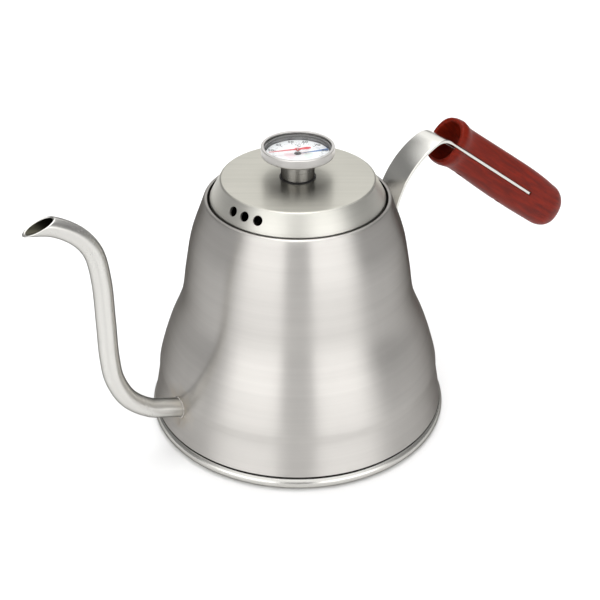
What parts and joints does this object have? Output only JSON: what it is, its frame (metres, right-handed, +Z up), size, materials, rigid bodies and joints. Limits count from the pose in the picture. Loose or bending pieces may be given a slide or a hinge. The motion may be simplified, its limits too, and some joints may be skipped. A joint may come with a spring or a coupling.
{
  "type": "gooseneck kettle",
  "caption": "Flared steel pour-over kettle with a slim S-curved spout, a bent strap handle with a slotted wooden grip, and a lift-off lid whose knob is a dial thermometer.",
  "frame": {"origin": "centre of the flat sole under the kettle, on the surface it stands on", "axes": "+Z up; the spout points along -X and the handle along +X; Y runs across the kettle"},
  "size_m": [0.3248, 0.153, 0.1472],
  "materials": {
    "brushed_steel": "satin, brushed around the axis",
    "tube_steel": "satin, brushed along the tube",
    "polished_steel": "polished",
    "aluminium": "plain",
    "wood": "red-brown stained, satin lacquer",
    "silicone": "matt",
    "dial_white": "printed white enamel",
    "needle_red": "gloss paint",
    "brass": "plain",
    "glass": "clear"
  },
  "bodies": {
    "kettle": {"pot_shell": "brushed_steel", "bottom_pan": "brushed_steel", "heat_disc": "aluminium", "sole": "brushed_steel", "spout": "tube_steel", "handle_strap": "tube_steel", "grip": "wood", "grip_screw_front": "polished_steel", "grip_screw_rear": "polished_steel"},
    "lid": {"lid_cap": "brushed_steel", "lid_skirt": "brushed_steel", "knob_collar": "polished_steel", "collar_seal": "silicone", "nut_washer": "polished_steel", "collar_nut": "polished_steel"},
    "sleeve": {"stem_sleeve": "silicone"},
    "thermometer": {"thermometer_case": "polished_steel", "bezel_ring": "polished_steel", "lens_gasket": "silicone", "lens": "glass", "dial_plate": "dial_white", "stem_tube": "polished_steel", "stem_tip": "polished_steel", "bimetal_coil": "brass", "shaft_bush": "brass"},
    "needle": {"needle": "needle_red", "needle_hub": "needle_red", "needle_shaft": "polished_steel"}
  },
  "joints": [
    {"name": "lid_lift", "type": "slide", "parent": "kettle", "child": "lid", "axis": [0, 0, 1], "range_m": [0, 0.1]},
    {"name": "thermometer_turn", "type": "hinge", "parent": "lid", "child": "sleeve", "pos_m": [0, 0, 0.131], "axis": [0, 0, 1], "continuous": true},
    {"name": "thermometer_pull", "type": "slide", "parent": "sleeve", "child": "thermometer", "axis": [0, 0, 1], "range_m": [0, 0.115]},
    {"name": "needle_sweep", "type": "hinge", "parent": "thermometer", "child": "needle", "pos_m": [0, 0, 0.1451], "axis": [0, 0, 1], "range_deg": [-240, 60]}
  ]
}
